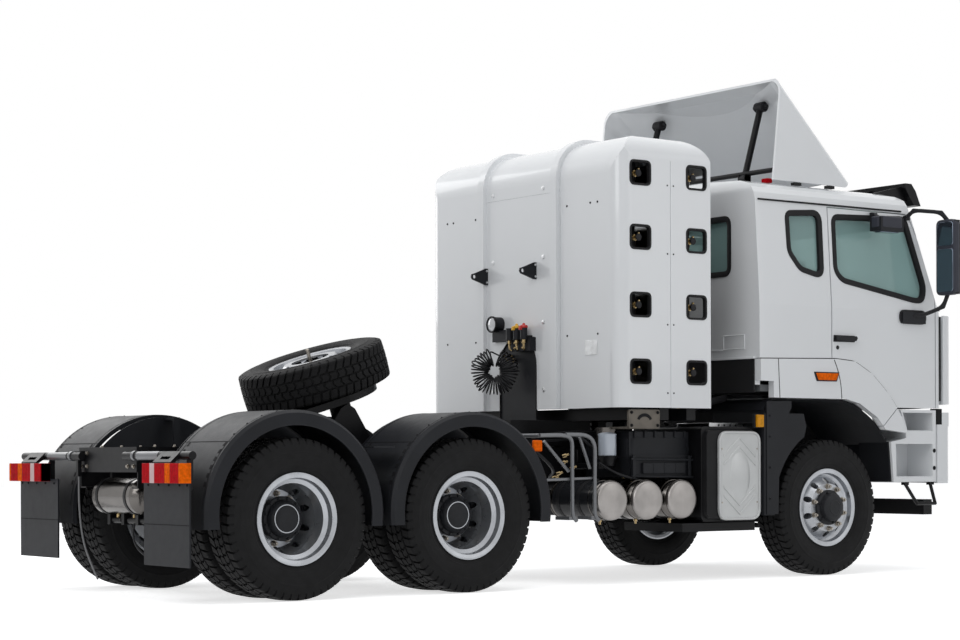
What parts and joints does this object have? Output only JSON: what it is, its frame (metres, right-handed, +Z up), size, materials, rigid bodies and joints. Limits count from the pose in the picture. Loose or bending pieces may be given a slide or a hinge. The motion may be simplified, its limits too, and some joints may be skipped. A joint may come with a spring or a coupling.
{
  "type": "tractor unit",
  "caption": "Three-axle cab-over tractor unit with tilting cab, gas cylinder rack, roof deflector, fifth wheel and a spare wheel laid on it.",
  "frame": {"origin": "on the ground under the middle of the vehicle", "axes": "+X forward, +Y to the vehicle's left, +Z up; wheels spin about Y"},
  "size_m": [7.375, 3.06, 3.9248],
  "materials": {
    "cab_white": "smooth gloss white paint",
    "frame_black": "satin black chassis paint",
    "plastic_black": "grained black plastic",
    "tyre_black": "matt black rubber",
    "rim_silver": "silver wheel enamel",
    "axle_dark": "dark painted castings",
    "tank_bright": "polished",
    "silencer_silver": "satin pressed sheet",
    "glass_green": "lightly tinted",
    "lamp_red": "moulded lens",
    "interior_grey": "trim",
    "cylinder_dark": "wound composite with clear coat",
    "hose_black": "satin"
  },
  "bodies": {
    "chassis": {"air_tanks": "tank_bright", "bumper": "cab_white", "earth_strap": "hose_black", "engine": "axle_dark", "fifth_wheel_base": "frame_black", "fold_steps": "frame_black", "frame_rails": "frame_black", "front_axle": "axle_dark", "gas_cylinders": "cylinder_dark", "gearbox": "axle_dark", "lamps": "lamp_red", "mud_flaps": "plastic_black", "mudguards": "plastic_black", "rack_frame": "frame_black", "rack_panels": "cab_white", "rear_axles": "axle_dark", "side_boxes": "plastic_black", "side_brackets": "frame_black", "silencer": "silencer_silver", "steps": "cab_white", "suzi_coil": "hose_black", "tail_bar": "frame_black", "trailer_couplings": "plastic_black"},
    "cab": {"cab_roof": "cab_white", "cab_back": "cab_white", "cab_sides": "cab_white", "cab_front": "cab_white", "cab_floor": "cab_white", "cab_fenders": "cab_white", "cab_glass": "glass_green", "cab_interior": "interior_grey", "roof_deflector": "cab_white", "roof_fittings": "frame_black"},
    "front_flap": {"front_flap": "cab_white"},
    "door_right": {"door_right": "cab_white", "door_glass_right": "glass_green", "mirrors_right": "plastic_black"},
    "door_left": {"door_left": "cab_white", "door_glass_left": "glass_green", "mirrors_left": "plastic_black"},
    "steering_wheel": {"steering_wheel": "interior_grey"},
    "knuckle_right": {"knuckle_right": "axle_dark"},
    "knuckle_left": {"knuckle_left": "axle_dark"},
    "tie_rod": {"tie_rod": "axle_dark"},
    "front_wheel_right": {"tyre_front_right": "tyre_black", "rim_front_right": "rim_silver"},
    "front_wheel_left": {"tyre_front_left": "tyre_black", "rim_front_left": "rim_silver"},
    "fifth_wheel_plate": {"fifth_wheel_plate": "axle_dark"},
    "spare_wheel": {"spare_tyre": "tyre_black", "spare_rim": "rim_silver"},
    "rear1_wheels_right": {"tyres_rear1_right": "tyre_black", "rims_rear1_right": "rim_silver"},
    "rear1_wheels_left": {"tyres_rear1_left": "tyre_black", "rims_rear1_left": "rim_silver"},
    "rear2_wheels_right": {"tyres_rear2_right": "tyre_black", "rims_rear2_right": "rim_silver"},
    "rear2_wheels_left": {"tyres_rear2_left": "tyre_black", "rims_rear2_left": "rim_silver"}
  },
  "joints": [
    {"name": "cab_tilt", "type": "hinge", "parent": "chassis", "child": "cab", "pos_m": [3.5475, 0, 1.02], "axis": [0, 1, 0], "range_deg": [0, 50]},
    {"name": "front_flap_hinge", "type": "hinge", "parent": "cab", "child": "front_flap", "pos_m": [3.6425, 0, 2.062], "axis": [0, -1, 0], "range_deg": [0, 60]},
    {"name": "door_right_hinge", "type": "hinge", "parent": "cab", "child": "door_right", "pos_m": [3.3375, -1.248, 1.7], "axis": [0, 0, 1], "range_deg": [0, 65]},
    {"name": "door_left_hinge", "type": "hinge", "parent": "cab", "child": "door_left", "pos_m": [3.3375, 1.248, 1.7], "axis": [0, 0, -1], "range_deg": [0, 65]},
    {"name": "steer_left", "type": "hinge", "parent": "chassis", "child": "knuckle_left", "pos_m": [2.1875, 0.87, 0.54], "axis": [0, 0, 1], "range_deg": [-35, 35]},
    {"name": "steer_right", "type": "hinge", "parent": "chassis", "child": "knuckle_right", "pos_m": [2.1875, -0.87, 0.54], "axis": [0, 0, 1], "range_deg": [-35, 35]},
    {"name": "tie_rod_swing", "type": "hinge", "parent": "knuckle_left", "child": "tie_rod", "pos_m": [1.9775, 0.845, 0.402], "axis": [0, 0, 1], "range_deg": [-35, 35]},
    {"name": "steering_wheel_turn", "type": "hinge", "parent": "cab", "child": "steering_wheel", "pos_m": [2.8775, 0.62, 2.18], "axis": [-0.4695, 0, 0.8829], "range_deg": [-700, 700]},
    {"name": "front_left_spin", "type": "hinge", "parent": "knuckle_left", "child": "front_wheel_left", "pos_m": [2.1875, 1.02, 0.54], "axis": [0, 1, 0], "continuous": true},
    {"name": "front_right_spin", "type": "hinge", "parent": "knuckle_right", "child": "front_wheel_right", "pos_m": [2.1875, -1.02, 0.54], "axis": [0, 1, 0], "continuous": true},
    {"name": "rear1_right_spin", "type": "hinge", "parent": "chassis", "child": "rear1_wheels_right", "pos_m": [-1.3875, -0.9095, 0.54], "axis": [0, 1, 0], "continuous": true},
    {"name": "rear1_left_spin", "type": "hinge", "parent": "chassis", "child": "rear1_wheels_left", "pos_m": [-1.3875, 0.9095, 0.54], "axis": [0, 1, 0], "continuous": true},
    {"name": "rear2_right_spin", "type": "hinge", "parent": "chassis", "child": "rear2_wheels_right", "pos_m": [-2.7875, -0.9095, 0.54], "axis": [0, 1, 0], "continuous": true},
    {"name": "rear2_left_spin", "type": "hinge", "parent": "chassis", "child": "rear2_wheels_left", "pos_m": [-2.7875, 0.9095, 0.54], "axis": [0, 1, 0], "continuous": true},
    {"name": "fifth_wheel_pitch", "type": "hinge", "parent": "chassis", "child": "fifth_wheel_plate", "pos_m": [-1.8625, 0, 1.285], "axis": [0, 1, 0], "range_deg": [0, 28]},
    {"name": "spare_lift", "type": "slide", "parent": "fifth_wheel_plate", "child": "spare_wheel", "axis": [-0.309, 0, 0.9511], "range_m": [0, 0.5]}
  ],
  "couplings": [
    {"joint": "steer_right", "follows": "steer_left", "ratio": 1},
    {"joint": "tie_rod_swing", "follows": "steer_left", "ratio": -1},
    {"joint": "steering_wheel_turn", "follows": "steer_left", "ratio": 20}
  ]
}
